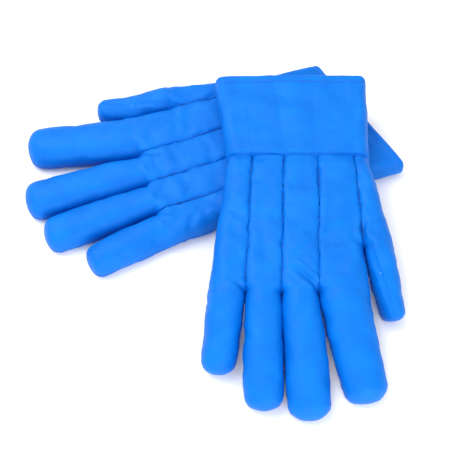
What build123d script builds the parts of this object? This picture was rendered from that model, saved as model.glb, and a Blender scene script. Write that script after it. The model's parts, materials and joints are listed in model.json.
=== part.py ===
"""A pair of cryogenic gloves lying one across the other, backs upward.

Each glove is a padded hand with an open gauntlet cuff and five digits.  Every digit is hinged at
its knuckle.  The left glove lies on the table; the right glove lies across its wrist and lifts off.

Glove frame: x runs from the wrist seam to the fingertips, y to the left of that, z out of the back
of the hand, with z = 0 halfway between the back and the palm.  Millimetres throughout.
"""
import os
from collections import namedtuple
from math import asin, cos, degrees, radians, sin, tan

from build123d import *

# Plies, from the outside in
SHELL_PLY = 0.8        # coated nylon shell with its waterproof backing
PAD_PLY = 4.5          # insulating batting
LINING_PLY = 0.7       # brushed knit lining
PLY_GAP = 0.1          # air between neighbouring plies
SEAM_GAP = 0.15        # space between two panels that meet at a seam

# The padded envelope
THICKNESS = 24.0       # over both faces, lying flat
EDGE_RADIUS = THICKNESS * 17 / 48   # rounding of every padded edge, 8.5

# Hand, measured from the wrist seam
HAND_LENGTH = 122.0    # wrist seam to the knuckles of the index and little fingers
MIDDLE_ADVANCE = 3.0   # the two middle knuckles stand this much further out
WRIST_HALF_WIDTH = 61.7
KNUCKLE_EDGE = 77.5    # little-finger edge of the hand at the knuckles, from the centre line
THUMB_KNUCKLE = 82.0   # wrist seam to the thumb's knuckle
SIDE_SEAM_AT_WRIST = 48.6   # seam beside the index panel, from the centre line

# Gauntlet cuff
CUFF_LENGTH = 79.0

# Knuckle joints
DIGIT_GAP = 2.0        # between two fingers at their knuckles
KNUCKLE_CLEARANCE = 0.4
FLEXION = 60.0         # degrees of curl towards the palm
EXTENSION = 25.0       # degrees of lift away from the palm

# Right glove, where it rests on the left one
REST_GAP = 0.6         # between the right palm and the top of the left glove
HAND_SLOPE = 3.0       # degrees; the right hand runs downhill towards its fingers
CROSSING = 64.0        # wrist seam to the far side of the left glove under the right one
LIFT_TRAVEL = 150.0    # how far the right glove lifts off

Digit = namedtuple("Digit", "root tip length")
DIGITS = {
    "little": Digit(root=29.0, tip=28.0, length=70.0),
    "ring": Digit(root=28.5, tip=33.0, length=95.0),
    "middle": Digit(root=29.0, tip=35.0, length=103.0),
    "index": Digit(root=36.0, tip=34.0, length=91.0),
    "thumb": Digit(root=24.0, tip=24.5, length=64.0),
}
FINGERS = ["little", "ring", "middle", "index"]
# Centre line of the hand to the thumb's knuckle, 66.5: clear of the index finger's edge
THUMB_OFFSET = (
    sum(DIGITS[name].root for name in FINGERS) + 4.5 * DIGIT_GAP - KNUCKLE_EDGE
    + DIGITS["thumb"].root / 2 + 0.5)

# How each glove lies.  thumb_side is +1 where the thumb is towards +y of the glove frame.
Drape = namedtuple("Drape", "thumb_side wrist heading splay flare_little flare_thumb skew")
GLOVES = {
    "left": Drape(
        thumb_side=-1, wrist=(44.6, 89.6), heading=196.5,
        splay={"little": -8.5, "ring": -4.5, "middle": -0.5, "index": 9.0, "thumb": 7.0},
        flare_little=1.0, flare_thumb=0.0, skew=19.0),
    "right": Drape(
        thumb_side=1, wrist=(62.6, 50.5), heading=270.0,
        splay={"little": -4.0, "ring": 0.0, "middle": 4.0, "index": 10.0, "thumb": 8.0},
        flare_little=10.6, flare_thumb=0.4, skew=0.0),
}

HALF = THICKNESS / 2
PAD_DEPTH = SHELL_PLY + PLY_GAP
LINING_DEPTH = PAD_DEPTH + PAD_PLY + PLY_GAP
CAVITY_DEPTH = LINING_DEPTH + LINING_PLY
PALM_SEAM = EDGE_RADIUS + PLY_GAP   # edge of the flat palm, in from the outline
OVERRUN = HALF + CAVITY_DEPTH + 4   # outlines run on this far past a cut end
FAR = 400.0


def knuckles():
    """The knuckle of each digit as (x, distance towards the thumb side)."""
    found, edge = {}, DIGIT_GAP / 2 - KNUCKLE_EDGE
    for name in FINGERS:
        advance = MIDDLE_ADVANCE if name in ("ring", "middle") else 0
        found[name] = (HAND_LENGTH + advance, edge + DIGITS[name].root / 2)
        edge += DIGITS[name].root + DIGIT_GAP
    found["thumb"] = (THUMB_KNUCKLE, THUMB_OFFSET)
    return found


def index_edge():
    """Thumb-side edge of the hand at the index knuckle."""
    return knuckles()["index"][1] + DIGITS["index"].root / 2 + DIGIT_GAP / 2


def thumb_crotch():
    """Where the seam beside the index panel ends, between the thumb and the index finger."""
    return THUMB_KNUCKLE + 2, THUMB_OFFSET - DIGITS["thumb"].root / 2 - DIGIT_GAP / 2


def polygon(points):
    return make_face(Polyline(*points, close=True))


def digit_outline(digit):
    """Outline of a digit, from behind its knuckle at x = 0 to its blunt tip."""
    widening = (digit.tip - digit.root) / 2 / digit.length
    start = digit.root / 2 - OVERRUN * widening
    end = digit.tip / 2
    face = polygon([(-OVERRUN, -start), (digit.length, -end), (digit.length, end),
                    (-OVERRUN, start)])
    return fillet(face.vertices().group_by(Axis.X)[-1], radius=digit.tip * 0.42)


def hand_outline(glove):
    """Outline of the hand and cuff; it runs on past the knuckles and the mouth of the cuff."""
    thumb_x, thumb_y = thumb_crotch()
    run = radians(glove.splay["thumb"])
    thumb_out = THUMB_OFFSET + DIGITS["thumb"].root / 2 + DIGIT_GAP / 2
    end = HAND_LENGTH + OVERRUN + MIDDLE_ADVANCE
    mouth = -CUFF_LENGTH
    beyond = mouth - OVERRUN - WRIST_HALF_WIDTH * tan(radians(glove.skew))
    stretch = beyond / mouth
    points = [
        (beyond, -WRIST_HALF_WIDTH - glove.flare_little * stretch),
        (0, -WRIST_HALF_WIDTH),
        (HAND_LENGTH, -KNUCKLE_EDGE),
        (end, -KNUCKLE_EDGE),
        (end, index_edge()),
        (HAND_LENGTH, index_edge()),
        (thumb_x, thumb_y),
        (thumb_x + OVERRUN, thumb_y + OVERRUN * tan(run)),
        (thumb_x + OVERRUN, thumb_out + OVERRUN * tan(run)),
        (THUMB_KNUCKLE, thumb_out),
        (0, WRIST_HALF_WIDTH),
        (beyond, WRIST_HALF_WIDTH + glove.flare_thumb * stretch),
    ]
    return polygon([(x, glove.thumb_side * y) for x, y in points])


def prism(outline, depth, low=None, high=None):
    """The outline drawn in by depth, as a straight-sided slab."""
    low = depth - HALF if low is None else low
    high = HALF - depth if high is None else high
    face = offset(outline, -depth, kind=Kind.INTERSECTION) if depth else outline
    return extrude(Pos(0, 0, low) * face, high - low)


def pillow(outline, depth):
    """The padded envelope drawn in by depth, with its top and bottom edges rounded."""
    slab = prism(outline, depth)
    rims = slab.edges().filter_by(GeomType.LINE, reverse=True) + slab.edges().filter_by(GeomType.LINE)
    rims = [e for e in rims if abs(abs(e.center().Z) - (HALF - depth)) < 1e-6]
    return fillet(rims, EDGE_RADIUS - depth)


def block(low, high):
    """A box given by two corners."""
    size = [b - a for a, b in zip(low, high)]
    middle = [(a + b) / 2 for a, b in zip(low, high)]
    return Pos(*middle) * Box(*size)


def knuckle_swing(width, radius):
    """Everything a digit sweeps at its knuckle, as a tool that clears the hand."""
    tool = block((0, -width / 2, -FAR), (OVERRUN * 3, width / 2, FAR))
    tool += Rot(90, 0, 0) * Cylinder(radius, width)
    drop = HALF * 1.5
    for angle, way in ((FLEXION, -1), (EXTENSION, 1)):
        s, c = sin(radians(angle)), cos(radians(angle))
        run = (drop - radius * c) / s
        profile = [(0, 0), (-radius * s, way * radius * c), (-radius * s + run * c, way * drop),
                   (1, way * drop)]
        face = Plane.XZ * polygon(profile if way < 0 else profile[::-1])
        tool += extrude(face, width / 2, both=True)
    return tool


def pads(outline, keep):
    """Batting: a palm pad, side walls and a back pad round the hand space, each a solid."""
    ring = (pillow(outline, PAD_DEPTH) & keep) - prism(outline, PAD_DEPTH + PAD_PLY)
    level = HALF - PAD_DEPTH - PAD_PLY
    bands = [(-HALF, -level), (-level, level), (level, HALF)]
    slabs = [ring & block((-FAR, -FAR, low), (FAR, FAR, high)) for low, high in bands]
    return [s for slab in slabs if slab for s in slab.solids()]


def lining(outline, keep):
    return (prism(outline, LINING_DEPTH) - prism(outline, CAVITY_DEPTH)) & keep


def palm_plate(outline, keep):
    return prism(outline, PALM_SEAM + SEAM_GAP, -HALF, SHELL_PLY - HALF) & keep


def palm_cut(outline):
    """Clears the flat underside of a shell for its palm panel."""
    return prism(outline, PALM_SEAM, -HALF - 1, PAD_DEPTH + PAD_PLY / 2 - HALF)


def digit_parts(digit):
    """The plies of one digit in its knuckle frame: x along the digit, z out of its back."""
    outline = digit_outline(digit)
    knuckle = Rot(90, 0, 0) * Cylinder(HALF + KNUCKLE_CLEARANCE / 4, FAR)
    keep = block((0, -FAR, -FAR), (FAR, FAR, FAR)) + knuckle
    plate = palm_plate(outline, keep)
    shell = (pillow(outline, 0) - pillow(outline, SHELL_PLY)) & keep
    return {
        "back_panel": [shell - palm_cut(outline)],
        "palm_panel": [plate],
        "batting": pads(outline, keep),
        "lining": [lining(outline, keep)],
    }


def seam_lines():
    """The four seams of the back as (wrist point, knuckle point), little finger first."""
    place = knuckles()
    lines = []
    for near, far in zip(FINGERS, FINGERS[1:]):
        x = (place[near][0] + place[far][0]) / 2
        y = place[near][1] + DIGITS[near].root / 2 + DIGIT_GAP / 2
        lines.append([(x, y)])
    share = (WRIST_HALF_WIDTH + SIDE_SEAM_AT_WRIST) / (KNUCKLE_EDGE + index_edge())
    for line in lines:
        line.insert(0, (0, (line[0][1] + KNUCKLE_EDGE) * share - WRIST_HALF_WIDTH))
    lines.append([(0, SIDE_SEAM_AT_WRIST), thumb_crotch()])
    return lines


def panel_fields(glove):
    """Plan area of each back panel of the hand, from seam to seam."""
    lines = seam_lines()
    half = SEAM_GAP / 2
    reach = HAND_LENGTH + OVERRUN
    crotch_x, crotch_y = thumb_crotch()

    def run_on(line):
        (x0, y0), (x1, y1) = line
        slope = (y1 - y0) / (x1 - x0)
        return [(x, y0 + slope * (x - x0)) for x in (half, reach)]

    edges = [[(half, -FAR / 2), (reach, -FAR / 2)]] + [run_on(s) for s in lines[:3]]
    fields = {}
    for name, low, high in zip(FINGERS[:3], edges, edges[1:]):
        fields[name] = [(x, y + half) for x, y in low] + [(x, y - half) for x, y in high[::-1]]
    side = [(half, SIDE_SEAM_AT_WRIST), (crotch_x, crotch_y)]
    fields["index"] = (
        [(x, y + half) for x, y in edges[3]] + [(reach, FAR / 2), (crotch_x, FAR / 2)]
        + [(x, y - half) for x, y in side[::-1]])
    fields["thumb"] = (
        [(x, y + half) for x, y in side] + [(crotch_x - half, FAR / 2), (half, FAR / 2)])
    return {n: polygon([(x, glove.thumb_side * y) for x, y in f]) for n, f in fields.items()}


def mouth_keep(glove, inset=0.0):
    """Everything on the hand's side of the cuff's mouth, drawn in by inset."""
    slab = block((0, -FAR, -FAR), (2 * FAR, FAR, FAR))
    return Pos(inset - CUFF_LENGTH, 0, 0) * Rot(0, 0, -glove.thumb_side * glove.skew) * slab


def hand_parts(name, glove):
    """The plies of the hand and cuff in the glove frame."""
    outline = hand_outline(glove)
    swings = [block((HAND_LENGTH, -FAR, -FAR), (FAR, FAR, FAR))]
    for digit, place in knuckle_frames(name).items():
        width = DIGITS[digit].root + 1.6 * DIGIT_GAP
        swings.append(place * knuckle_swing(width, HALF + KNUCKLE_CLEARANCE))
    whole = mouth_keep(glove)
    distal = block((SEAM_GAP / 2, -FAR, -FAR), (FAR, FAR, FAR))
    proximal = block((-FAR, -FAR, -FAR), (-SEAM_GAP / 2, FAR, FAR))

    def cleared(solids):
        return [s for solid in solids for s in (solid - swings).solids()]

    shell = pillow(outline, 0) - pillow(outline, SHELL_PLY)
    back = cleared([(shell & distal) - palm_cut(outline)])
    parts = {}
    for digit, field in panel_fields(glove).items():
        column = extrude(Pos(0, 0, -FAR / 2) * field, FAR)
        overlaps = [piece & column for piece in back]
        parts[digit + "_back_panel"] = [s for o in overlaps if o for s in o.solids()]
    parts["palm_panel"] = cleared([palm_plate(outline, distal)])
    turned = (pillow(outline, 0) - prism(outline, CAVITY_DEPTH)) & whole
    hem = turned - mouth_keep(glove, SHELL_PLY)
    parts["cuff_shell"] = [(shell & whole & proximal) + hem]
    inner = mouth_keep(glove, PAD_DEPTH)
    parts["cuff_batting"] = pads(outline, inner & proximal)
    parts["hand_batting"] = cleared(pads(outline, distal))
    parts["lining"] = cleared([lining(outline, inner)])
    return parts


def digit_pitch(name, digit):
    """Degrees that a digit droops at its knuckle, so that its tip lies on the table."""
    if name == "left":
        return 0.0
    x = knuckles()[digit][0]
    height = glove_frame(name) * Pos(x, 0, 0)
    drop = height.position.Z - HALF
    reach = DIGITS[digit].length - EDGE_RADIUS
    return degrees(asin(drop / reach)) - HAND_SLOPE


def knuckle_frames(name):
    """Where each digit's knuckle frame sits in the glove frame."""
    side = GLOVES[name].thumb_side
    return {
        digit: Pos(x, side * y, 0)
        * Rot(0, 0, side * GLOVES[name].splay[digit])
        * Rot(0, digit_pitch(name, digit), 0)
        for digit, (x, y) in knuckles().items()
    }


def glove_frame(name):
    """Where the glove frame sits above the table."""
    glove = GLOVES[name]
    height, slope = HALF, 0.0
    if name == "right":
        slope = HAND_SLOPE
        height = THICKNESS + REST_GAP + HALF + CROSSING * tan(radians(slope))
    x, y = glove.wrist
    return Pos(x, y, height) * Rot(0, 0, glove.heading) * Rot(0, slope, 0)


def build():
    """Every node as a list of solids, with the origin under the middle of the pair."""
    digits = {digit: digit_parts(size) for digit, size in DIGITS.items()}
    nodes, frames = {}, {}
    for name, glove in GLOVES.items():
        frame = glove_frame(name)
        for part, solids in hand_parts(name, glove).items():
            nodes[f"{name}_hand_{part}" if part.endswith("_back_panel") else f"{name}_{part}"] = [
                frame * s for s in solids]
        frames[name] = frame
        for digit, place in knuckle_frames(name).items():
            frames[f"{name}_{digit}"] = frame * place
            for part, solids in digits[digit].items():
                nodes[f"{name}_{digit}_{part}"] = [frame * place * s for s in solids]
    box = Compound(children=[Compound(children=list(s)) for s in nodes.values()]).bounding_box()
    centre = Pos(-box.center().X, -box.center().Y, -box.min.Z)
    nodes = {node: [centre * s for s in solids] for node, solids in nodes.items()}
    return nodes, {key: centre * frame for key, frame in frames.items()}


def main():
    os.makedirs("parts", exist_ok=True)
    nodes, frames = build()
    for node, solids in nodes.items():
        flat = [s for shape in solids for s in shape.solids()]
        export_step(Compound(children=flat) if len(flat) > 1 else flat[0], f"parts/{node}.step")
    print(len(nodes), "nodes")
    return frames


if __name__ == "__main__":
    main()
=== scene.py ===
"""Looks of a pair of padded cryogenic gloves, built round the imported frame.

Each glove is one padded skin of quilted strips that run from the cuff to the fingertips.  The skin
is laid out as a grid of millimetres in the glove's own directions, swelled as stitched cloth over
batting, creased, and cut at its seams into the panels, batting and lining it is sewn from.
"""
import itertools
import json
import math

import bpy
import numpy as np
from mathutils import Matrix, Vector, noise
from mathutils.bvhtree import BVHTree


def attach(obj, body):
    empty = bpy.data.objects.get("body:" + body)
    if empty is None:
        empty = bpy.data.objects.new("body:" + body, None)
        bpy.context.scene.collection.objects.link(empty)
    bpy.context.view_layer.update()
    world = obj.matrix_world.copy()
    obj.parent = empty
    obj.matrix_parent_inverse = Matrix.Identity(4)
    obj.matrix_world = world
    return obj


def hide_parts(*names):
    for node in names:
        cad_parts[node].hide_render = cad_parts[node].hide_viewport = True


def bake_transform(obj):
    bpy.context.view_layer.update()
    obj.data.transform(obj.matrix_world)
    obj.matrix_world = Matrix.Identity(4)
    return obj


bl_info = {
    "name": "Cryogenic gloves",
    "version": (1, 0, 0),
    "blender": (4, 5, 0),
    "location": "View3D > Sidebar > Gloves",
    "description": "Builds a pair of padded cryogenic gloves on their packed frame",
    "category": "Add Mesh",
}

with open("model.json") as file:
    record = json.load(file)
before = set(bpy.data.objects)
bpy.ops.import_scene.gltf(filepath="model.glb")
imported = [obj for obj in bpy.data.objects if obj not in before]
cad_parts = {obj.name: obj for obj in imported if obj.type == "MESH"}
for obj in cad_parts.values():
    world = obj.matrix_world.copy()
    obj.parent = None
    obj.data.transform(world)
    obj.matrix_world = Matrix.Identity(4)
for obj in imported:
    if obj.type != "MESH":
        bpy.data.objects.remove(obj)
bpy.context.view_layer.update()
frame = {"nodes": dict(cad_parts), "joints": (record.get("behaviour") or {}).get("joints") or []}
MM = 0.001
SIDES = {"left": -1, "right": 1}   # +1 where the thumb is to the left of the fingers
DIGITS = ("little", "ring", "middle", "index", "thumb")


# ---------------------------------------------------------------- the frame's own directions

def joint(name):
    return next(j for j in frame["joints"] if j["name"] == name)


def unit(v):
    return v / np.linalg.norm(v)


def plate_normal(node):
    """Upward normal of a flat palm plate."""
    co = np.array([v.co for v in frame["nodes"][node].data.vertices])
    n = np.linalg.svd(co - co.mean(0), full_matrices=False)[2][2]
    return unit(n * np.sign(n[2]))


class Place:
    """A spot on the frame, in mm, with x along the fingers, y to its left and z out of the back."""

    def __init__(self, origin, y, z):
        self.origin = np.array(origin, float)
        z = unit(z)
        y = unit(y - z * (y @ z))
        self.axes = np.column_stack([np.cross(y, z), y, z])

    def points(self, local):
        return local @ self.axes.T + self.origin

    def turn(self):
        return Matrix(self.axes.tolist()).to_quaternion()


def knuckle_place(side, digit):
    j = joint(f"{side} {digit} knuckle")
    return Place(np.array(j["pos_m"]) / MM, np.array(j["axis"]),
                 plate_normal(f"{side}_{digit}_palm_panel"))


def glove_place(side, sizes):
    little, index = (np.array(joint(f"{side} {d} knuckle")["pos_m"]) / MM for d in ("little", "index"))
    place = Place(index, (index - little) * SIDES[side], plate_normal(f"{side}_palm_panel"))
    local = np.array([sizes.hand_length, SIDES[side] * INDEX_ACROSS, 0.0])
    place.origin = index - place.axes @ local
    return place


# ---------------------------------------------------------------- the glove's plan, in mm

# Distance of each knuckle from the centre line, towards the thumb, and how far out it stands
KNUCKLES = {"little": (-62.0, 0.0), "ring": (-31.25, 3.0), "middle": (-0.5, 3.0),
            "index": (34.0, 0.0), "thumb": (66.5, -40.0)}
INDEX_ACROSS = KNUCKLES["index"][0]
# Seams and edges of the strips at the wrist, and at the crotch or knuckle where each ends
WRIST_LINES = (-61.7, -40.0, -12.6, 17.6, 48.6, 61.7)
END_LINES = ((122.0, -77.5), (123.5, -46.6), (125.0, -16.6), (123.5, 14.2), (84.0, 53.5),
             (82.0, 79.5))
INDEX_SIDE = (122.0, 57.5)
TIPS = {"little": (28.0, 70.0), "ring": (33.0, 96.0), "middle": (36.0, 104.0),
        "index": (36.5, 95.0), "thumb": (19.0, 65.0)}       # width and length
BELLIES = {"little": 31.5, "ring": 34.0, "middle": 36.5, "index": 40.5, "thumb": 25.5}
LEAN = {"little": -2.0, "index": 3.5, "thumb": 3.0}          # sideways drift of a fingertip
FLARE = {"left": (1.0, 0.0), "right": (10.6, 0.4)}          # little-finger side, thumb side
SKEW = {"left": 19.0, "right": 0.0}
HEM_TURN = 5.5                                             # outer to inner face of the turned hem
HEM_FACING = 14.0                                          # how far the turned hem runs inside
ACROSS = 12                                                # quads across a strip
HALF = 12.0                                                # half the thickness of a glove
HAND_LENGTH = 122.0                                        # wrist seam to the knuckles
THUMB_START = END_LINES[4][0]                              # wrist seam to the thumb's crotch
RESTING = 0.3                                              # lowest point of the cloth over the table
SIDE_SINK = 0.5                                            # side seam below the middle, share of HALF
BACK_POWER, PALM_POWER = 2.3, 2.8                          # how square a padded edge is
EDGE_REACH, SEAM_REACH = 10.5, 9.0                         # rounding in from an edge, from a crotch
CROTCH_RUN = 15.0                                          # length over which a crotch opens
CROTCH_WEB = 0.085                                         # height left in a crotch, share
TIP_ROUND = 0.66                                           # length of a tip's rounding, to its half
SEAM_ROWS = np.array([0.5, 1.2, 2.4, 4.2])                 # rows crowded beside the wrist seam
MOUTH = 0.966                                              # where the hem turns, share of the cuff
UV_SPAN = 100.0                                            # cloth to one unit of uv
THREAD_SPACING = 0.9                                       # wider than real, so that it can be seen


class GlovePlan:
    """Rows and columns of one glove's skin, strip by strip."""

    def __init__(self, side, sizes):
        self.side, self.sizes = side, sizes
        self.hand = glove_place(side, sizes)
        self.knuckle = {d: knuckle_place(side, d) for d in DIGITS}
        step = sizes.grid
        n_cuff = round(sizes.cuff_length / step) + 4
        stitch = sizes.hem_width / sizes.cuff_length
        near_wrist = SEAM_ROWS / sizes.cuff_length
        near_hem = 1 - stitch + np.array([-0.030, -0.012, 0, 0.012, 0.030])
        body = np.linspace(0.08, 1 - stitch - 0.06, n_cuff - 6)
        rows = np.concatenate([[0], near_wrist, body, near_hem, [MOUTH]])
        self.cuff_rows = np.unique(np.round(rows, 6))[::-1]
        near = np.concatenate([[0], SEAM_ROWS]) / HAND_LENGTH
        to_thumb = round(THUMB_START / step) + 3
        n_rest = round((HAND_LENGTH - THUMB_START) / step) + 3
        rest = 1 - (1 - np.linspace(0, 1, n_rest + 1)[1:]) ** 1.35
        share = THUMB_START / HAND_LENGTH
        self.hand_rows = np.concatenate([near, np.linspace(7 / HAND_LENGTH, share, to_thumb - 4),
                                         share + (1 - share) * rest])
        self.thumb_row = to_thumb
        self.cross = np.sin(np.linspace(-1, 1, ACROSS + 1) * math.pi / 2)

    def line_point(self, k, f):
        """Point (u, v) of border k at share f of the way from the wrist to the knuckles."""
        if k < 4:
            end = END_LINES[k]
            return end[0] * f, WRIST_LINES[k] + (end[1] - WRIST_LINES[k]) * f
        share = self.hand_rows[self.thumb_row]
        if k == 4 and f > share:
            t = (f - share) / (1 - share)
            (u0, v0), (u1, v1) = END_LINES[4], INDEX_SIDE
            return u0 + (u1 - u0) * t, v0 + (v1 - v0) * t
        end, t = END_LINES[k], f / share
        return end[0] * t, WRIST_LINES[k] + (end[1] - WRIST_LINES[k]) * t

    def cuff_point(self, k, f):
        """Point of border k at share f of the way from the wrist to the mouth."""
        low, high = FLARE[self.side]
        a, b = WRIST_LINES[0] - low * f, WRIST_LINES[5] + high * f
        t = (WRIST_LINES[k] - WRIST_LINES[0]) / (WRIST_LINES[5] - WRIST_LINES[0])
        v = a + (b - a) * t
        u = -self.sizes.cuff_length + v * math.tan(math.radians(SKEW[self.side]))
        return u * f, v


def swell(x, power):
    """Height share of a padded edge at share x of the way in from the edge."""
    x = np.clip(x, 0, 1)
    return (1 - (1 - x) ** power) ** (1 / power)


def smooth(t):
    t = np.clip(t, 0, 1)
    return t * t * (3 - 2 * t)


def lay(z, back):
    """Height of a point z from the middle, with the side seam sunk towards the palm."""
    return (z * (1 + SIDE_SINK) if back else -z * (1 - SIDE_SINK)) - SIDE_SINK * HALF


def groove(d, depth, width):
    """Share of the height left beside a stitched seam at distance d."""
    return 1 - depth / HALF * np.exp(-(d / width) ** 1.5)


def nick(d, depth, width):
    """Share of the height left at distance d from a line across the glove."""
    return 1 - depth / HALF * np.exp(-(d / width) ** 2)


def hand_row(plan, k, f, back):
    """Points of strip k across the hand at share f."""
    (u0, v0), (u1, v1) = plan.line_point(k, f), plan.line_point(k + 1, f)
    t = (plan.cross + 1) / 2
    u, v = u0 + (u1 - u0) * t, v0 + (v1 - v0) * t
    half = (v1 - v0) / 2
    end = THUMB_START / HAND_LENGTH if k == 4 else 1.0
    ease = float(smooth((f - (end - 0.3)) / 0.3))
    power = BACK_POWER if back else PALM_POWER
    z = np.full_like(v, HALF)
    for border, d in ((k, np.maximum(v - v0, 0)), (k + 1, np.maximum(v1 - v, 0))):
        past_thumb = border == 4 and f >= plan.hand_rows[plan.thumb_row]
        if border in (0, 5) or (k == 3 and past_thumb):
            z = z * swell(d / (EDGE_REACH + (half - EDGE_REACH) * ease), power)
            continue
        stop = END_LINES[border][0]
        run = (plan.line_point(border, f)[0] - (stop - CROTCH_RUN)) / CROTCH_RUN
        run = float(np.clip(run, 0, 1))
        if back:
            z = z * groove(d, plan.sizes.seam_depth * (1 - run), 1.0)
        web = CROTCH_WEB if back else 0.0
        depth = 1 - (1 - web) * math.sqrt(max(0.0, 1 - run * run))
        reach = SEAM_REACH + (half - SEAM_REACH) * float(smooth(run))
        z = z * (1 - depth * (1 - swell(d / reach, power)))
    if back:
        z = z * nick(u, plan.sizes.wrist_step, 9.0) * nick(u, 1.0, 0.9)
    return np.column_stack([u, v, lay(z, back)])


def cuff_row(plan, k, f, back, inset=0.0, out=0.0):
    """Points of strip k across the cuff at share f, drawn in by inset and moved out by out."""
    (u0, v0), (u1, v1) = plan.cuff_point(k, f), plan.cuff_point(k + 1, f)
    t = (plan.cross + 1) / 2
    u, v = u0 + (u1 - u0) * t, v0 + (v1 - v0) * t
    a, b = plan.cuff_point(0, f)[1], plan.cuff_point(5, f)[1]
    rim = 11 - 5 * f
    z = HALF * (1 - 0.2 * f * f) * swell((v - a) / rim, 2.4) * swell((b - v) / rim, 2.4)
    if back:
        arch = np.sin(math.pi * np.clip((v - a) / (b - a), 0, 1))
        z = z * nick(u, 1.2, 1.0) * (1 + plan.sizes.cuff_rise / HALF * f * arch)
    from_hem = plan.sizes.cuff_length * (1 - f) - plan.sizes.hem_width
    z = z * nick(from_hem, 0.9, 1.3)
    middle = (a + b) / 2
    v = middle + (v - middle) * (1 - 2 * inset / (b - a))
    z = lay(z, back) * (1 - inset / HALF)
    return np.column_stack([u - out, v, z])


def hem_rows(plan, k, back):
    """The turned edge of the cuff, from its facing inside round to its outer face."""
    radius = HEM_TURN / 2
    f = plan.cuff_rows[0]
    rows = [cuff_row(plan, k, f - depth / plan.sizes.cuff_length, back, HEM_TURN)
            for depth in (HEM_FACING, HEM_FACING / 2)]
    for angle in np.linspace(math.pi, 0, 8)[:-1]:
        rows.append(cuff_row(plan, k, f, back, radius * (1 - math.cos(angle)),
                             radius * math.sin(angle)))
    return rows


def digit_rows(plan, digit, back):
    """Rows of one digit from its knuckle to its tip, as placed points and as their plan."""
    k = DIGITS.index(digit)
    tip_width, length = TIPS[digit]
    across, advance = KNUCKLES[digit]
    knuckle_u = HAND_LENGTH + advance
    if digit == "thumb":
        (u0, v0), (u1, v1) = END_LINES[4], END_LINES[5]
    else:
        (u0, v0), (u1, v1) = END_LINES[k], END_LINES[k + 1] if k < 3 else INDEX_SIDE
    t = (plan.cross + 1) / 2
    start_u, start_v = u0 + (u1 - u0) * t - knuckle_u, v0 + (v1 - v0) * t - across
    tip_half = tip_width / 2
    tip_run = tip_half * TIP_ROUND
    straight = length - tip_run
    n = round(straight / plan.sizes.grid)
    root, middle = (v1 - v0) / 2, (v0 + v1) / 2 - across
    power = BACK_POWER if back else PALM_POWER
    rows = []
    for s in straight * (np.linspace(0, 1, n + 1)[1:] ** 1.15):
        x = s / length
        belly = BELLIES[digit] / 2 - (root + tip_half) / 2
        half = root + (tip_half - root) * x + belly * 4 * x * (1 - x)
        lead = math.exp(-s / 9)
        z = HALF * swell(1 - np.abs(plan.cross), power)
        drift = LEAN.get(digit, 0.0) * (s / straight) ** 2
        rows.append(np.column_stack([s + start_u * lead,
                                     middle * math.exp(-s / 30) + drift + half * plan.cross,
                                     lay(z, back)]))
    m = max(6, round(tip_run * 1.5 / plan.sizes.grid))
    b = plan.cross
    for a in np.sin(np.linspace(0, 1, m + 1)[1:] * math.pi / 2):
        x, y = a * np.sqrt(1 - b * b / 2), b * math.sqrt(1 - a * a / 2)
        rho = np.sqrt(np.clip(a * a + b * b - a * a * b * b, 0, 1))
        z = HALF * swell(1 - rho, power)
        drift = LEAN.get(digit, 0.0)
        rows.append(np.column_stack([straight + tip_run * x, drift + tip_half * y, lay(z, back)]))
    if plan.side == "left" and digit == "thumb":    # pressed flat beside the index finger
        for row in rows:
            lower = 1 - 0.35 * smooth(row[:, 0] / 40)
            row[:, 2] = (row[:, 2] + HALF) * lower - HALF
            row[:, 1] -= 3.0 * smooth(row[:, 0] / 50)
    base = plan.hand.turn()
    goal = plan.knuckle[digit].turn()
    origin = plan.knuckle[digit].origin
    sign = SIDES[plan.side]
    placed = []
    for row in rows:
        w = float(smooth(max(row[ACROSS // 2, 0], 0) / 20))
        turn = np.array(base.slerp(goal, w).to_matrix())
        placed.append((row * (1, sign, 1)) @ turn.T + origin)
    flat = [row[:, :2] + (knuckle_u, across) for row in rows]
    return placed, flat


def strip_grid(plan, k, back):
    """All rows of a strip from inside the cuff to the fingertip: points in mm, and their plan."""
    sign = SIDES[plan.side]
    hem = hem_rows(plan, k, back)
    cuff = [cuff_row(plan, k, f, back) for f in plan.cuff_rows[:-1]]
    last = plan.thumb_row + 1 if k == 4 else len(plan.hand_rows)
    hand = [hand_row(plan, k, f, back) for f in plan.hand_rows[:last]]
    rows = hem + cuff + hand
    placed = [plan.hand.points(r * (1, sign, 1)) for r in rows]
    flat = [r[:, :2] for r in rows]
    digit, digit_flat = digit_rows(plan, DIGITS[k], back)
    starts = (len(hem), len(hem) + len(cuff), len(rows) - 1)
    return np.array(placed + digit), np.array(flat + digit_flat), starts


LABELS = ("strip", "region", "back")
CUFF, HAND, DIGIT = 1, 2, 3          # regions of a strip; the hem, before them, is 0
NO_SEAM = 99.0                       # seam distance of the cuff, which has no such seams


def seam_distance(grid):
    """Distance over the cloth from each point of a strip to its nearer side seam or its tip."""
    across = np.linalg.norm(np.diff(grid, axis=1), axis=2)
    left = np.concatenate([np.zeros((len(grid), 1)), np.cumsum(across, axis=1)], axis=1)
    down = np.linalg.norm(np.diff(grid, axis=0), axis=2)[::-1]
    to_tip = np.concatenate([np.zeros((1, grid.shape[1])), np.cumsum(down, axis=0)])[::-1]
    return np.minimum(np.minimum(left, left[:, -1:] - left), to_tip)


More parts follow.
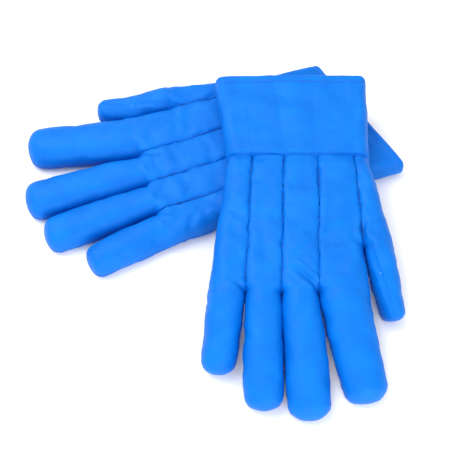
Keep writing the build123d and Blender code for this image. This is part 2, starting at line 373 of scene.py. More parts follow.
def skin(plan):
    """The whole outer skin of a glove: points, quads, and per-quad strip, region, side and uv."""
    points, plans, quads, labels, uvs, index = [], [], [], [], [], {}

    def vertex(p, flat):
        key = tuple(np.round(p / 0.02).astype(int))
        for d in itertools.product((0, 1, -1), repeat=3):
            near = index.get((key[0] + d[0], key[1] + d[1], key[2] + d[2]))
            if near is not None:
                return near
        index[key] = len(points)
        points.append(p)
        plans.append(flat)
        return index[key]

    flip = SIDES[plan.side] < 0
    for back in (True, False):
        for k in range(5):
            grid, flat, starts = strip_grid(plan, k, back)
            away = seam_distance(grid)
            away[:starts[1]] = NO_SEAM
            flat = np.dstack([flat, away])
            ids = np.array([[vertex(p, q) for p, q in zip(*pair)] for pair in zip(grid, flat)])
            along = np.linalg.norm(np.diff(grid[:, ACROSS // 2], axis=0), axis=1)
            along = np.concatenate([[0], np.cumsum(along)])
            wide = np.linalg.norm(np.diff(grid, axis=1), axis=2)
            wide = np.concatenate([np.zeros((len(grid), 1)), np.cumsum(wide, axis=1)], axis=1)
            wide -= wide[:, ACROSS // 2][:, None]
            for i in range(len(grid) - 1):
                region = int(np.searchsorted(starts, i, side="right"))
                for j in range(grid.shape[1] - 1):
                    corners = [(i, j), (i + 1, j), (i + 1, j + 1), (i, j + 1)]
                    if back == flip:
                        corners = corners[::-1]
                    q = [int(ids[c]) for c in corners]
                    if len(set(q)) < 4:
                        keep = [n for n, x in enumerate(q) if x not in q[:n]]
                        q, corners = [q[n] for n in keep], [corners[n] for n in keep]
                        if len(q) < 3:
                            continue
                    quads.append(q)
                    labels.append((k, region, int(back)))
                    uvs.append([(wide[c] / UV_SPAN, along[c[0]] / UV_SPAN) for c in corners])
    return np.array(points), quads, np.array(labels), uvs, np.array(plans)


def mesh_object(name, points, faces, labels, uvs, plans):
    """Object of points in mm, with its labels on its faces, its uv and its plan."""
    mesh = bpy.data.meshes.new(name)
    mesh.from_pydata((np.asarray(points) * MM).tolist(), [], faces)
    for n, key in enumerate(LABELS):
        mesh.attributes.new(key, "INT", "FACE").data.foreach_set(
            "value", np.ascontiguousarray(labels[:, n], np.int32))
    layer = mesh.uv_layers.new(name="cloth")
    layer.data.foreach_set("uv", np.array([c for f in uvs for c in f], np.float32).ravel())
    mesh.attributes.new("plan", "FLOAT_VECTOR", "POINT").data.foreach_set(
        "vector", plans.astype(np.float32).ravel())
    mesh.shade_smooth()
    obj = bpy.data.objects.new(name, mesh)
    bpy.context.scene.collection.objects.link(obj)
    return obj


def bake(obj):
    """Leaves an object with the plain mesh that its modifiers make."""
    graph = bpy.context.evaluated_depsgraph_get()
    mesh = bpy.data.meshes.new_from_object(obj.evaluated_get(graph), depsgraph=graph)
    old = obj.data
    obj.modifiers.clear()
    obj.data = mesh
    bpy.data.meshes.remove(old)


def coordinates(mesh):
    co = np.empty(len(mesh.vertices) * 3, np.float32)
    mesh.vertices.foreach_get("co", co)
    return co.reshape(-1, 3).astype(float)


def normals(mesh):
    no = np.empty(len(mesh.vertices) * 3, np.float32)
    mesh.vertex_normals.foreach_get("vector", no)
    return no.reshape(-1, 3).astype(float)


# ---------------------------------------------------------------- swelling the cloth

SETTLING = 24       # frames the cloth is given
EVENED = 0.85       # share of the broad movement taken out, so that only the folds stay
CUFF_HELD = 0.85    # share of the movement that the cuff's stiffness stops


def swell_cloth(obj, sizes):
    """Lets the skin swell over its padding as stitched cloth, within a cap."""
    rest = coordinates(obj.data)
    loose = obj.vertex_groups.new(name="loose")
    pin = obj.vertex_groups.new(name="pin")
    seam, held = seam_weights(obj)
    for i, (s, h) in enumerate(zip(seam, held)):
        loose.add([i], float(s), "REPLACE")
        pin.add([i], float(h), "REPLACE")
    cloth = obj.modifiers.new("Swell", "CLOTH")
    s = cloth.settings
    s.quality = 5
    s.mass = 0.15
    s.tension_stiffness = s.compression_stiffness = 12
    s.shear_stiffness = 6
    s.bending_stiffness = 0.25
    s.tension_damping = s.compression_damping = s.shear_damping = 8
    s.air_damping = 3
    s.use_pressure = True
    s.uniform_pressure_force = sizes.pressure
    s.effector_weights.gravity = 0
    s.vertex_group_shrink = "loose"
    s.shrink_min = -sizes.looseness
    s.shrink_max = sizes.gather
    s.vertex_group_mass = "pin"
    s.pin_stiffness = 1
    cloth.collision_settings.use_collision = False
    cloth.point_cache.frame_start = 1
    cloth.point_cache.frame_end = SETTLING
    for f in range(1, SETTLING + 1):
        bpy.context.scene.frame_set(f)
    bake(obj)
    bpy.context.scene.frame_set(1)
    moved = coordinates(obj.data) - rest
    moved -= EVENED * spread(obj.data, moved, 14)
    cuff = np.zeros((len(moved), 1))
    for polygon, tag in zip(obj.data.polygons, face_labels(obj.data)):
        if tag[1] <= CUFF:
            cuff[list(polygon.vertices)] = 1
    moved *= 1 - CUFF_HELD * spread(obj.data, cuff, 3)
    far = np.linalg.norm(moved, axis=1)
    cap = sizes.swell_cap * MM
    shorten = np.where(far > 1e-9, cap * np.tanh(far / cap) / np.maximum(far, 1e-9), 1)
    settled = rest + moved * shorten[:, None]
    obj.data.vertices.foreach_set("co", settled.astype(np.float32).ravel())
    obj.data.update()


def edge_pairs(mesh):
    pairs = np.empty(len(mesh.edges) * 2, np.int32)
    mesh.edges.foreach_get("vertices", pairs)
    return pairs.reshape(-1, 2)


def spread(mesh, values, rounds):
    """Values averaged over each point's neighbours, several times over."""
    a, b = edge_pairs(mesh).T
    count = np.bincount(np.concatenate([a, b]), minlength=len(values))[:, None]
    out = values.copy()
    for _ in range(rounds):
        total = np.zeros_like(out)
        np.add.at(total, a, out[b])
        np.add.at(total, b, out[a])
        out = 0.5 * out + 0.5 * total / count
    return out


def face_labels(mesh):
    out = []
    for key in LABELS:
        values = np.empty(len(mesh.polygons), np.int32)
        mesh.attributes[key].data.foreach_get("value", values)
        out.append(values)
    return np.column_stack(out)


def seam_weights(obj):
    """Which points lie on a seam, and which on the open edge of the hem's facing."""
    mesh = obj.data
    labels = face_labels(mesh)
    labels[labels[:, 1] <= CUFF, 0] = 0
    first = np.full((len(mesh.vertices), 3), -1)
    seam = np.zeros(len(mesh.vertices), bool)
    for p, tag in zip(mesh.polygons, labels):
        for v in p.vertices:
            if first[v, 0] < 0:
                first[v] = tag
            elif (first[v] != tag).any() and not (first[v, 1] >= HAND and tag[1] >= HAND
                                                  and first[v, 0] == tag[0]
                                                  and first[v, 2] == tag[2]):
                seam[v] = True
    used = np.zeros(len(mesh.edges), int)
    loops = np.empty(len(mesh.loops), np.int32)
    mesh.loops.foreach_get("edge_index", loops)
    np.add.at(used, loops, 1)
    held = np.zeros(len(mesh.vertices))
    held[edge_pairs(mesh)[used == 1].ravel()] = 1.0
    return seam.astype(float), held


# ---------------------------------------------------------------- creases and puckers

# Back-of-hand folds as (points along the fold in the plan, depth, half-width), millimetres
CREASES = {
    "right": (
        (((-70, -52), (-56, -12), (-50, 24)), 1.0, 7.0),
        (((-34, -46), (-24, -8)), 0.8, 6.0),
        (((-66, 28), (-44, 50)), 0.8, 6.0),
        (((104, -6), (112, 2), (121, 11), (126, 14)), 3.1, 2.2),
        (((96, -2), (106, 6), (114, 13)), 1.2, 1.8),
        (((118, -56), (122, -50), (124, -46)), 1.6, 1.6),
        (((60, -34), (88, -30), (116, -26)), 0.9, 4.0),
        (((40, -26), (70, -38)), 0.7, 4.0),
        (((128, 4), (142, 0), (150, -6)), 0.7, 3.0),
        (((66, 46), (76, 44), (86, 50)), 1.3, 1.8),
        (((60, 55), (74, 52), (84, 54)), 1.6, 2.0),
        (((30, 30), (70, 22), (96, 26)), 0.7, 5.0),
    ),
    "left": (
        (((104, 6), (114, 10), (123, 14)), 1.6, 2.0),
        (((100, -50), (112, -54), (120, -50)), 1.9, 2.0),
        (((104, -60), (112, -64), (118, -62)), 1.3, 2.0),
        (((88, -58), (96, -64), (100, -72)), 1.2, 2.2),
        (((76, 38), (92, 42), (112, 46)), 0.8, 3.5),
        (((80, 58), (96, 66)), 1.1, 2.5),
        (((70, 52), (84, 56), (98, 58)), 1.3, 2.0),
    ),
}
THUMB_SEAM = (((80, 58), (100, 61), (122, 65), (138, 69), (143, 73)), 1.5, 1.3)


def distance_to(path, points):
    """Distance of each plan point to a path, and how far along it that is."""
    best = np.full(len(points), 1e9)
    along = np.zeros(len(points))
    path = np.array(path, float)
    n = len(path) - 1
    for i, (a, b) in enumerate(zip(path, path[1:])):
        d = b - a
        t = np.clip((points - a) @ d / (d @ d), 0, 1)
        gap = np.linalg.norm(points - (a + t[:, None] * d), axis=1)
        nearer = gap < best
        best[nearer] = gap[nearer]
        along[nearer] = ((i + t) / n)[nearer]
    return best, along


def crease(obj, side, sizes):
    """Presses the named folds, seam puckers and soft unevenness into the finished skin."""
    mesh = obj.data
    co, no = coordinates(mesh) / MM, normals(mesh)
    flat = np.empty(len(mesh.vertices) * 3, np.float32)
    mesh.attributes["plan"].data.foreach_get("vector", flat)
    flat = flat.reshape(-1, 3).astype(float)
    plan, edge = flat[:, :2], np.maximum(flat[:, 2], 0)
    top = glove_place(side, sizes).axes[:, 2]
    upward = np.clip(no @ top * 2, 0, 1)
    push = np.zeros(len(co))
    for path, depth, width in (*CREASES[side], THUMB_SEAM):
        d, t = distance_to(path, plan)
        fade = np.sin(math.pi * np.clip(t, 0.02, 0.98)) ** 0.6
        valley = np.exp(-(d / width) ** 1.4) - 0.45 * np.exp(-((d - 2.3 * width) / width) ** 2)
        push -= depth * fade * valley * upward
    seed = Vector((3.1, 7.7, 1.3)) if side == "left" else Vector((9.4, 2.2, 5.8))
    soft = np.array([noise.noise(Vector((p[0] / 26, p[1] / 15, p[2] / 20)) + seed) for p in co])
    fine = np.array([noise.noise(Vector((p[0] / 8, p[1] / 6, p[2] / 7)) + seed) for p in co])
    gather = np.array([noise.noise(Vector((q[0] / 3.2, round(q[1] / 30) * 5, 0)) + seed)
                       for q in plan])
    push += sizes.unevenness * (soft * 1.3 + 0.35 * fine)
    push += sizes.pucker * gather * np.exp(-edge / 3.5) * np.clip(edge / 0.8, 0, 1)
    co += no * push[:, None]
    co[:, 2] = np.maximum(co[:, 2], RESTING)
    mesh.vertices.foreach_set("co", (co * MM).astype(np.float32).ravel())
    mesh.update()


# ---------------------------------------------------------------- materials

def linear(hex_colour):
    """sRGB hex as linear RGBA."""
    c = [int(hex_colour[i:i + 2], 16) / 255 for i in (1, 3, 5)]
    return [x / 12.92 if x <= 0.04045 else ((x + 0.055) / 1.055) ** 2.4 for x in c] + [1.0]


def add(tree, kind, settings=None, **links):
    """Adds a node; links maps an input's name, or n0, n1 for its place, to a value or a socket."""
    node = tree.nodes.new(kind)
    for key, value in (settings or {}).items():
        setattr(node, key, value)
    for key, value in links.items():
        at = int(key[1:]) if key[0] == "n" and key[1:].isdigit() else key.replace("_", " ")
        socket = node.inputs[at]
        if isinstance(value, bpy.types.NodeSocket):
            tree.links.new(value, socket)
        else:
            socket.default_value = value
    return node


def textured_nylon(sizes):
    """Air-textured nylon yarn in a plain weave, water-repellent, matte with a slight sheen."""
    mat = bpy.data.materials.new("air-textured nylon shell")
    mat.use_nodes = True
    tree = mat.node_tree
    tree.nodes.clear()
    uv = add(tree, "ShaderNodeUVMap", {"uv_map": "cloth"}).outputs["UV"]
    place = add(tree, "ShaderNodeTexCoord").outputs["Object"]
    waves = UV_SPAN / THREAD_SPACING / math.tau
    warp = add(tree, "ShaderNodeTexWave", {"wave_type": "BANDS", "bands_direction": "X"},
               Vector=uv, Scale=waves, Distortion=1.2, Detail=1.0, Detail_Scale=2.0)
    weft = add(tree, "ShaderNodeTexWave", {"wave_type": "BANDS", "bands_direction": "Y"},
               Vector=uv, Scale=waves, Distortion=1.2, Detail=1.0, Detail_Scale=2.0)
    weave = add(tree, "ShaderNodeMath", {"operation": "MULTIPLY"}, n0=warp.outputs["Fac"],
                n1=weft.outputs["Fac"]).outputs[0]
    crinkle = add(tree, "ShaderNodeTexNoise", None, Vector=place, Scale=420.0, Detail=3.0,
                  Roughness=0.6).outputs["Fac"]
    soft = add(tree, "ShaderNodeTexNoise", None, Vector=place, Scale=55.0, Detail=2.0,
               Roughness=0.5).outputs["Fac"]
    tone = add(tree, "ShaderNodeMath", {"operation": "MULTIPLY_ADD"}, n0=crinkle, n1=0.35,
               n2=soft).outputs[0]
    ramp = add(tree, "ShaderNodeValToRGB", None, Fac=tone)
    ramp.color_ramp.elements[0].position = 0.45
    ramp.color_ramp.elements[1].position = 0.95
    ramp.color_ramp.elements[0].color = linear(sizes.shell_shade)
    ramp.color_ramp.elements[1].color = linear(sizes.shell_colour)
    # painted shade: the colour is darkened for half a millimetre either side of a seam, standing in
    # for the shade that falls in the seam's groove
    seam = add(tree, "ShaderNodeAttribute", {"attribute_name": "seam"}).outputs["Fac"]
    near = add(tree, "ShaderNodeMapRange", None, Value=seam, From_Min=0.15, From_Max=0.75,
               To_Min=1.0, To_Max=0.0).outputs[0]
    colour = add(tree, "ShaderNodeMix", {"data_type": "RGBA"}, n0=near, n6=ramp.outputs["Color"],
                 n7=linear(sizes.seam_shade_colour)).outputs[2]
    height = add(tree, "ShaderNodeMath", {"operation": "MULTIPLY_ADD"}, n0=crinkle, n1=0.6,
                 n2=weave).outputs[0]
    bump = add(tree, "ShaderNodeBump", None, Strength=0.35, Distance=0.00018, Height=height)
    shader = add(tree, "ShaderNodeBsdfPrincipled", None, Base_Color=colour,
                 Roughness=0.5, IOR=1.53, Normal=bump.outputs["Normal"])
    shader.inputs["Specular IOR Level"].default_value = 0.12
    add(tree, "ShaderNodeOutputMaterial", None, Surface=shader.outputs[0])
    return mat


def plain_cloth(name, dark, light, scale, strength):
    """A soft fibrous cloth with uneven tone: batting or brushed knit."""
    mat = bpy.data.materials.new(name)
    mat.use_nodes = True
    tree = mat.node_tree
    tree.nodes.clear()
    place = add(tree, "ShaderNodeTexCoord").outputs["Object"]
    fibre = add(tree, "ShaderNodeTexNoise", None, Vector=place, Scale=scale, Detail=4.0,
                Roughness=0.65).outputs["Fac"]
    ramp = add(tree, "ShaderNodeValToRGB", None, Fac=fibre)
    ramp.color_ramp.elements[0].position = 0.3
    ramp.color_ramp.elements[1].position = 0.7
    ramp.color_ramp.elements[0].color = linear(dark)
    ramp.color_ramp.elements[1].color = linear(light)
    bump = add(tree, "ShaderNodeBump", None, Strength=strength, Distance=0.0004, Height=fibre)
    shader = add(tree, "ShaderNodeBsdfPrincipled", None, Base_Color=ramp.outputs["Color"],
                 Roughness=0.9, IOR=1.5, Normal=bump.outputs["Normal"])
    shader.inputs["Sheen Weight"].default_value = 0.5
    add(tree, "ShaderNodeOutputMaterial", None, Surface=shader.outputs[0])
    return mat


# ---------------------------------------------------------------- cutting into pieces

# Depths of each ply's outer and inner faces under the skin, in mm
SHELL_PLY, BATTING_PLY, LINING_PLY = (0.0, 0.8), (1.3, 4.8), (4.9, 5.5)


def slab(name, mesh_points, mesh_normals, faces, loops, outer, inner, edge):
    """Closed ply cut from the skin: its outer face at depth outer, its inner face at depth inner.

    A shell ply carries its distance to the nearest seam; a batting ply draws in beside the seams.
    """
    used = sorted({v for f in faces for v in f})
    at = {v: n for n, v in enumerate(used)}
    n = len(used)
    base = mesh_points[used]
    no = mesh_normals[used]
    shell = loops is not None
    sunk = outer if shell else outer + 2.4 * np.exp(-edge[used] / 2.5)[:, None]
    points = np.concatenate([base - no * sunk, base - no * inner])
    top = [[at[v] for v in f] for f in faces]
    under = [[at[v] + n for v in f[::-1]] for f in faces]
    seen = {}
    for f in top:
        for a, b in zip(f, f[1:] + f[:1]):
            seen[(a, b)] = 1
    rim = [[b, a, a + n, b + n] for a, b in seen if (b, a) not in seen]
    mesh = bpy.data.meshes.new(name)
    mesh.from_pydata((points * MM).tolist(), [], top + under + rim)
    if shell:
        layer = mesh.uv_layers.new(name="cloth")
        data = np.concatenate([np.concatenate(loops), np.concatenate([x[::-1] for x in loops]),
                               np.zeros((len(rim) * 4, 2))])
        layer.data.foreach_set("uv", data.astype(np.float32).ravel())
    mesh.shade_smooth()
    if shell:
        mesh.attributes.new("seam", "FLOAT", "POINT").data.foreach_set(
            "value", np.tile(edge[used], 2).astype(np.float32))
        mesh.normals_split_custom_set_from_vertices(np.concatenate([no, -no]).tolist())
    obj = bpy.data.objects.new(name, mesh)
    bpy.context.scene.collection.objects.link(obj)
    return obj


def read_skin(obj):
    """Points in mm, normals, faces, labels, per-face uv and seam distances of a finished skin."""
    mesh = obj.data
    uv = np.empty(len(mesh.loops) * 2, np.float32)
    mesh.uv_layers["cloth"].data.foreach_get("uv", uv)
    uv = uv.reshape(-1, 2)
    faces = [list(p.vertices) for p in mesh.polygons]
    loops = [uv[p.loop_start:p.loop_start + p.loop_total] for p in mesh.polygons]
    flat = np.empty(len(mesh.vertices) * 3, np.float32)
    mesh.attributes["plan"].data.foreach_get("vector", flat)
    edge = np.maximum(flat[2::3], 0).astype(float)
    return coordinates(mesh) / MM, normals(mesh), faces, face_labels(mesh), loops, edge


def finish_piece(obj, material, side, digit, nodes):
    """Gives a cut piece its material, ties a piece of the hand to the hand's body, bakes a digit's
    piece in place, and hides the CAD solids it stands for.
    """
    obj.data.materials.append(material)
    if digit is None:
        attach(obj, f"{side} hand")
    else:
        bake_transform(obj)
    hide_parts(*nodes)


def cut_glove(side, fine, coarse, mats):
    """Panels from the fine skin, batting and lining from the coarse one."""
    points, no, faces, labels, loops, edge = read_skin(fine)

    def pick(mask, faces, loops):
        ids = np.nonzero(mask)[0]
        return [faces[i] for i in ids], [loops[i] for i in ids]

    strip, region, back = labels.T
    shell = mats["shell"]

    def panel(name, mask, digit, nodes):
        chosen, uv = pick(mask, faces, loops)
        obj = slab(name, points, no, chosen, uv, *SHELL_PLY, edge)
        finish_piece(obj, shell, side, digit, nodes)

    for k, digit in enumerate(DIGITS):
        panel(f"{side}_{digit}_back", (strip == k) & (region >= HAND) & (back == 1), digit,
              [f"{side}_hand_{digit}_back_panel", f"{side}_{digit}_back_panel"])
        panel(f"{side}_{digit}_palm", (strip == k) & (region == DIGIT) & (back == 0), digit,
              [f"{side}_{digit}_palm_panel"])
    panel(f"{side}_palm", (region == HAND) & (back == 0), None, [f"{side}_palm_panel"])
    panel(f"{side}_cuff", region <= CUFF, None, [f"{side}_cuff_shell"])

    points, no, faces, labels, loops, edge = read_skin(coarse)
    no = spread(coarse.data, no, 4)
    no /= np.linalg.norm(no, axis=1)[:, None]
    strip, region, back = labels.T

    def batting(name, mask, digit, nodes):
        obj = slab(name, points, no, pick(mask, faces, loops)[0], None, *BATTING_PLY, edge)
        finish_piece(obj, mats["batting"], side, digit, nodes)

    def lining(name, mask, digit, nodes):
        obj = slab(name, points, no, pick(mask, faces, loops)[0], None, *LINING_PLY, edge)
        finish_piece(obj, mats["lining"], side, digit, nodes)

    for k, digit in enumerate(DIGITS):
        mask = (strip == k) & (region == DIGIT)
        batting(f"{side}_{digit}_batting_pad", mask, digit, [f"{side}_{digit}_batting"])
        lining(f"{side}_{digit}_lining_knit", mask, digit, [f"{side}_{digit}_lining"])
    batting(f"{side}_hand_batting_pad", region == HAND, None, [f"{side}_hand_batting"])
    batting(f"{side}_cuff_batting_pad", region == CUFF, None, [f"{side}_cuff_batting"])
    lining(f"{side}_lining_knit", (region == HAND) | (region == CUFF), None, [f"{side}_lining"])


# ---------------------------------------------------------------- hem stitches

def stitch_tree(thread):
    """Node tree that lays thread stitches at an even spacing along the edges it is given."""
    tree = bpy.data.node_groups.new("row of stitches", "GeometryNodeTree")
    face = tree.interface
    face.new_socket("Geometry", in_out="INPUT", socket_type="NodeSocketGeometry")
    ids = {name: face.new_socket(name, in_out="INPUT", socket_type=kind).identifier
           for name, kind in (("Spacing", "NodeSocketFloat"), ("Length", "NodeSocketFloat"),
                              ("Thickness", "NodeSocketFloat"), ("Seed", "NodeSocketInt"))}
    face.new_socket("Geometry", in_out="OUTPUT", socket_type="NodeSocketGeometry")
    given = tree.nodes.new("NodeGroupInput").outputs
    line = add(tree, "GeometryNodeMeshToCurve", None, Mesh=given["Geometry"]).outputs[0]
    line = add(tree, "GeometryNodeResampleCurve", {"mode": "LENGTH"}, Curve=line,
               Length=given["Spacing"]).outputs[0]
    radius = add(tree, "ShaderNodeMath", {"operation": "MULTIPLY"}, n0=given["Thickness"], n1=0.5)
    stitch = add(tree, "GeometryNodeMeshUVSphere", None, Segments=8, Rings=6,
                 Radius=radius.outputs[0]).outputs[0]
    tangent = add(tree, "GeometryNodeInputTangent").outputs[0]
    turn = add(tree, "FunctionNodeAlignRotationToVector", {"axis": "Z"}, Vector=tangent).outputs[0]
    reach = add(tree, "ShaderNodeMath", {"operation": "DIVIDE"}, n0=given["Length"],
                n1=given["Thickness"]).outputs[0]
    share = add(tree, "FunctionNodeRandomValue", {"data_type": "FLOAT"}, n2=0.85, n3=1.0,
                Seed=given["Seed"]).outputs[1]
    long = add(tree, "ShaderNodeMath", {"operation": "MULTIPLY"}, n0=reach, n1=share).outputs[0]
    scale = add(tree, "ShaderNodeCombineXYZ", None, X=1.0, Y=1.0, Z=long).outputs[0]
    laid = add(tree, "GeometryNodeInstanceOnPoints", None, Points=line, Instance=stitch,
               Rotation=turn, Scale=scale).outputs[0]
    laid = add(tree, "GeometryNodeRealizeInstances", None, Geometry=laid).outputs[0]
    laid = add(tree, "GeometryNodeSetMaterial", None, Geometry=laid, Material=thread).outputs[0]
    tree.links.new(laid, tree.nodes.new("NodeGroupOutput").inputs[0])
    return tree, ids


def hem_stitches(side, plan, fine, thread):
    """The topstitching round the cuff's hem, laid on the finished skin."""
    sizes = plan.sizes
    share = 1 - sizes.hem_width / sizes.cuff_length
    loop = []
    for back in (True, False):
        strips = range(5) if back else range(4, -1, -1)
        for k in strips:
            row = cuff_row(plan, k, share, back) * (1, SIDES[side], 1)
            loop.extend(plan.hand.points(row if back else row[::-1])[:-1])
    tree = BVHTree.FromObject(fine, bpy.context.evaluated_depsgraph_get())
    spots = []
    for p in loop:
        at, normal = tree.find_nearest(Vector(p * MM))[:2]
        spots.append(at / MM + normal * 0.12)
    edges = [(i, (i + 1) % len(spots)) for i in range(len(spots))]
    mesh = bpy.data.meshes.new(f"{side}_hem_stitches")
    mesh.from_pydata([p * MM for p in spots], edges, [])
    obj = bpy.data.objects.new(f"{side}_hem_stitches", mesh)
    bpy.context.scene.collection.objects.link(obj)
    group, ids = stitch_tree(thread)
    rows = obj.modifiers.new("Stitches", "NODES")
    rows.node_group = group
    for name, value in (("Spacing", sizes.stitch_spacing * MM), ("Length", sizes.stitch_length * MM),
                        ("Thickness", sizes.thread * MM), ("Seed", 7)):
        rows[ids[name]] = value
    bake(obj)
    obj.data.shade_smooth()
    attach(obj, f"{side} hand")
    return obj


# ---------------------------------------------------------------- add-on classes

class GLOVES_PG_sizes(bpy.types.PropertyGroup):
    """Sizes and colours of the gloves, in millimetres."""
    hand_length: bpy.props.FloatProperty(
        name="Hand length", description="Wrist seam to knuckles, mm", default=HAND_LENGTH)
    cuff_length: bpy.props.FloatProperty(
        name="Cuff length", description="Wrist seam to mouth, mm", default=79.0)
    hem_width: bpy.props.FloatProperty(
        name="Hem width", description="Edge of the cuff to its topstitching, mm", default=6.5)
    grid: bpy.props.FloatProperty(
        name="Grid", description="Spacing of the skin's rows, mm", default=3.4)
    seam_depth: bpy.props.FloatProperty(
        name="Seam depth", description="Groove along each back seam, mm", default=1.2)
    wrist_step: bpy.props.FloatProperty(
        name="Wrist step", description="Drop from the cuff to the hand, mm", default=1.6)
    cuff_rise: bpy.props.FloatProperty(
        name="Cuff rise", description="Arch of the cuff at its mouth, mm", default=1.5)
    unevenness: bpy.props.FloatProperty(
        name="Unevenness", description="Soft waves of the cloth, mm", default=0.7)
    pucker: bpy.props.FloatProperty(
        name="Pucker", description="Gathers beside the seams, mm", default=1.0)
    stitch_spacing: bpy.props.FloatProperty(
        name="Stitch spacing", description="Between stitches of the hem, mm", default=3.0)
    stitch_length: bpy.props.FloatProperty(
        name="Stitch length", description="Length of a stitch, mm", default=2.4)
    thread: bpy.props.FloatProperty(
        name="Thread", description="Thickness of the thread, mm", default=0.5)
    pressure: bpy.props.FloatProperty(
        name="Pressure", description="Push of the batting on the cloth", default=2.2)
    looseness: bpy.props.FloatProperty(
        name="Looseness", description="Spare cloth over the batting, share", default=0.035)
    gather: bpy.props.FloatProperty(
        name="Gather", description="How much a seam draws up, share", default=0.06)
    swell_cap: bpy.props.FloatProperty(
        name="Swell cap", description="Furthest a point may move, mm", default=1.5)
    shell_colour: bpy.props.StringProperty(
        name="Shell", description="Lit tone of the shell, sRGB hex", default="#0072D2")
    shell_shade: bpy.props.StringProperty(
        name="Shell shade", description="Deeper tone of the shell, sRGB hex", default="#0066C8")
    # painted shade: the darker colour laid along the seams, where the groove's shade falls
    seam_shade_colour: bpy.props.StringProperty(
        name="Seam shade", description="Painted shade in the seam grooves, sRGB hex", default="#073C8A")


def glove(side, sizes, mats):
    plan = GlovePlan(side, sizes)
    points, quads, labels, uvs, plans = skin(plan)
    coarse = mesh_object(f"{side}_skin", points, quads, labels, uvs, plans)
    swell_cloth(coarse, sizes)
    fine = coarse.copy()
    fine.data = coarse.data.copy()
    bpy.context.scene.collection.objects.link(fine)
    sub = fine.modifiers.new("Finer", "SUBSURF")
    sub.levels = sub.render_levels = 1
    sub.boundary_smooth = "PRESERVE_CORNERS"
    bake(fine)
    crease(fine, side, sizes)
    crease(coarse, side, sizes)
    cut_glove(side, fine, coarse, mats)
    hem_stitches(side, plan, fine, mats["thread"])
    for o in (coarse, fine):
        bpy.data.objects.remove(o)


class GLOVES_OT_materials(bpy.types.Operator):
    """Makes the cloths"""
    bl_idname = "gloves.materials"
    bl_label = "Cloths"

    def execute(self, context):
        sizes = context.scene.gloves
        textured_nylon(sizes)
        plain_cloth("polyester batting", "#D8DCDD", "#F2F3F2", 500.0, 0.6)
        plain_cloth("brushed knit lining", "#1B4E9C", "#2A67BF", 650.0, 0.5)
        plain_cloth("polyester sewing thread", "#0F55B8", "#1A6ADB", 900.0, 0.3)
        return {"FINISHED"}


def cloths():
    m = bpy.data.materials
    return {"shell": m["air-textured nylon shell"], "batting": m["polyester batting"],
            "lining": m["brushed knit lining"], "thread": m["polyester sewing thread"]}


class GLOVES_OT_left(bpy.types.Operator):
    """Builds the left glove"""
    bl_idname = "gloves.left"
    bl_label = "Left glove"

    def execute(self, context):
        glove("left", context.scene.gloves, cloths())
        return {"FINISHED"}


class GLOVES_OT_right(bpy.types.Operator):
    """Builds the right glove"""
    bl_idname = "gloves.right"
    bl_label = "Right glove"

    def execute(self, context):
        glove("right", context.scene.gloves, cloths())
        return {"FINISHED"}


class GLOVES_OT_stage(bpy.types.Operator):
    """Lays the floor and sets the lights and the camera"""
    bl_idname = "gloves.stage"
    bl_label = "Stage"

    def execute(self, context):
        stage(context.scene)
        return {"FINISHED"}


AIM = np.array([-0.0446, -0.0896, 0.003])      # where the camera looks, from the left wrist, metres
CAMERA_RISE = math.radians(62)                 # above the table
CAMERA_DISTANCE = 1.15                         # metres
LENS = 107.36                                  # mm, on a sensor 36 mm wide
FLOOR_HALF = 3.0                               # metres
LIGHTS = (("key", (-0.5, 0.35, 1.1), 0.9, 11.0),      # name, place from the aim, size, watts
          ("fill", (0.25, -1.25, 0.45), 1.2, 14.0))


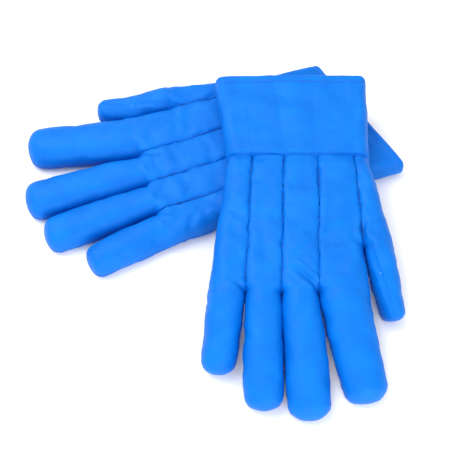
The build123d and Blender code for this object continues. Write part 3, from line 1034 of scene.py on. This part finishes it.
def stage(scene):
    place = glove_place("left", scene.gloves)
    centre = place.origin * MM + AIM
    mesh = bpy.data.meshes.new("floor")
    r = FLOOR_HALF
    mesh.from_pydata([(-r, -r, 0), (r, -r, 0), (r, r, 0), (-r, r, 0)], [], [(0, 1, 2, 3)])
    floor = bpy.data.objects.new("floor", mesh)
    scene.collection.objects.link(floor)
    mat = bpy.data.materials.new("matte white paper")
    mat.use_nodes = True
    shader = mat.node_tree.nodes["Principled BSDF"]
    shader.inputs["Base Color"].default_value = linear("#FCFCFC")
    shader.inputs["Roughness"].default_value = 0.9
    shader.inputs["Specular IOR Level"].default_value = 0.2
    mesh.materials.append(mat)
    world = bpy.data.worlds.new("soft room")
    world.use_nodes = True
    world.node_tree.nodes["Background"].inputs["Color"].default_value = (1, 1, 1, 1)
    world.node_tree.nodes["Background"].inputs["Strength"].default_value = 0.95
    scene.world = world
    for name, spot, size, power in LIGHTS:
        light = bpy.data.lights.new(name, "AREA")
        light.energy, light.size = power, size
        obj = bpy.data.objects.new(name, light)
        obj.location = Vector(centre) + Vector(spot)
        obj.rotation_euler = (Vector(centre) - obj.location).to_track_quat("-Z", "Y").to_euler()
        scene.collection.objects.link(obj)
    cam = bpy.data.cameras.new("camera")
    cam.sensor_width, cam.lens = 36, LENS
    eye = bpy.data.objects.new("camera", cam)
    away = Vector((0, -math.cos(CAMERA_RISE), math.sin(CAMERA_RISE)))
    eye.location = Vector(centre) + away * CAMERA_DISTANCE
    eye.rotation_euler = (Vector(centre) - eye.location).to_track_quat("-Z", "Y").to_euler()
    scene.collection.objects.link(eye)
    scene.camera = eye
    scene.view_settings.view_transform = "Standard"


class GLOVES_PT_panel(bpy.types.Panel):
    """Steps of the gloves"""
    bl_idname = "GLOVES_PT_panel"
    bl_label = "Gloves"
    bl_space_type = "VIEW_3D"
    bl_region_type = "UI"
    bl_category = "Gloves"

    def draw(self, context):
        for step in STEPS:
            self.layout.operator(step.bl_idname)
        for name in GLOVES_PG_sizes.__annotations__:
            self.layout.prop(context.scene.gloves, name)


STEPS = (GLOVES_OT_materials, GLOVES_OT_left, GLOVES_OT_right, GLOVES_OT_stage)
CLASSES = (GLOVES_PG_sizes, *STEPS, GLOVES_PT_panel)


def register():
    for c in CLASSES:
        bpy.utils.register_class(c)
    bpy.types.Scene.gloves = bpy.props.PointerProperty(type=GLOVES_PG_sizes)


def unregister():
    del bpy.types.Scene.gloves
    for c in reversed(CLASSES):
        bpy.utils.unregister_class(c)


def main():
    register()
    for step in STEPS:
        group, name = step.bl_idname.split(".")
        getattr(getattr(bpy.ops, group), name)()


if __name__ == "__main__":
    main()
